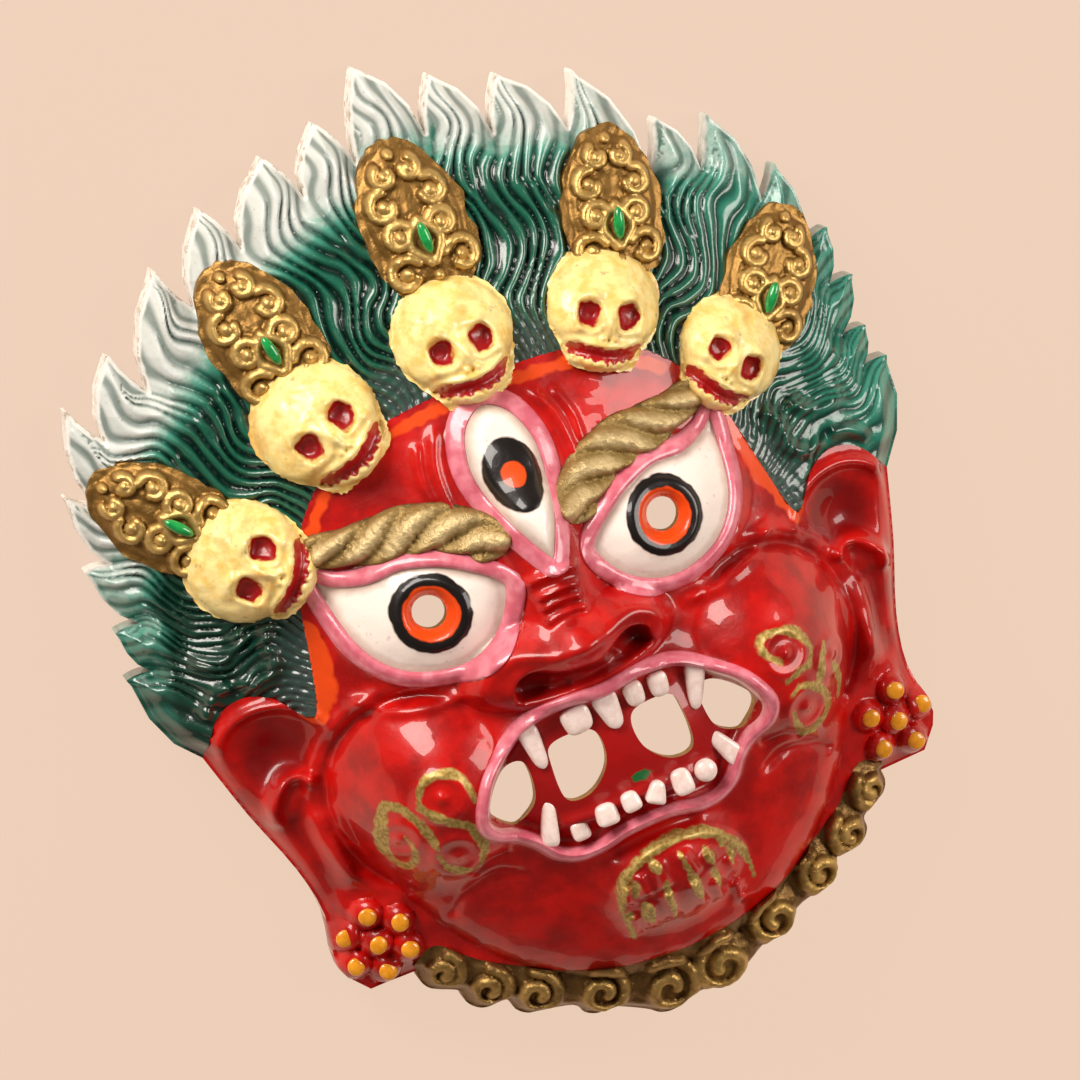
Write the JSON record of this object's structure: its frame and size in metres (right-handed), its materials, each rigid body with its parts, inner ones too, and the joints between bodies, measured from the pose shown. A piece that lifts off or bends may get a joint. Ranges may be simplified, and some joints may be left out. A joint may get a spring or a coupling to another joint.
{
  "type": "kirtimukha wall hanging",
  "caption": "Hollow cast metal mask of a wrathful face with a forehead eye, bared teeth, flame mane, skull crown, ears and scrolled collar, made to hang flat on a wall.",
  "frame": {"origin": "middle of the bounding box, on the plane of the flat rim that lies against a wall or a table", "axes": "+Z out of the face, +Y toward the crown, +X toward the viewer's right"},
  "size_m": [0.1512, 0.184, 0.0473],
  "materials": {
    "mask": "glossy enamel paint over cast brass"
  },
  "bodies": {
    "root": {"mask": "mask"}
  },
  "joints": []
}
